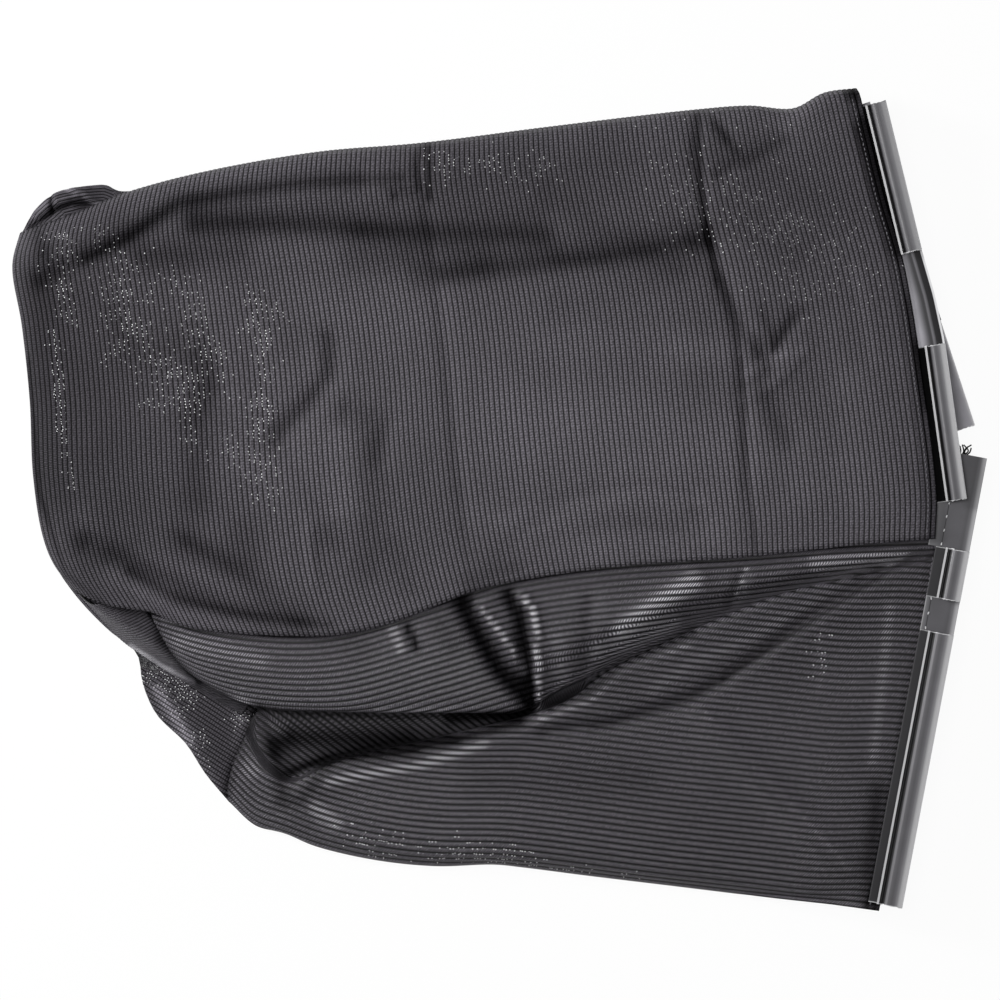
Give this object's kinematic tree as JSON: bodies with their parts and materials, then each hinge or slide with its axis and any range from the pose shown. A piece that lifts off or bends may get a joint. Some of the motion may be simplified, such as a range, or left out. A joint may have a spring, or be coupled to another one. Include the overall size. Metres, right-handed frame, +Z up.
{
  "type": "mower grass collection bag",
  "caption": "Soft ribbed mesh grass bag lying flat, with a folded bottom panel and snap-channel clip strips sewn to its open mouth.",
  "frame": {"origin": "on the floor under the middle of the flat bag's bounding box", "axes": "+X from the closed end to the mouth, +Y across the bag towards the front panel's upper edge, +Z up"},
  "size_m": [0.6346, 0.5356, 0.0309],
  "materials": {
    "front_mesh": "matt charcoal polyester mesh, knitted in fine ribs about 3 mm apart",
    "gloss_mesh": "the same ribbed mesh with its slightly glossy face out",
    "strip_plastic": "satin dark grey extruded PVC",
    "thread": "dark sewing thread"
  },
  "bodies": {
    "root": {"front_side_panel": "front_mesh", "bottom_panel": "gloss_mesh", "end_panel": "gloss_mesh", "rear_side_panel": "front_mesh", "rear_top_panel": "front_mesh", "upper_clip_strip": "strip_plastic", "lower_clip_strip": "strip_plastic", "rear_upper_clip_strip": "strip_plastic", "rear_lower_clip_strip": "strip_plastic"}
  },
  "joints": []
}
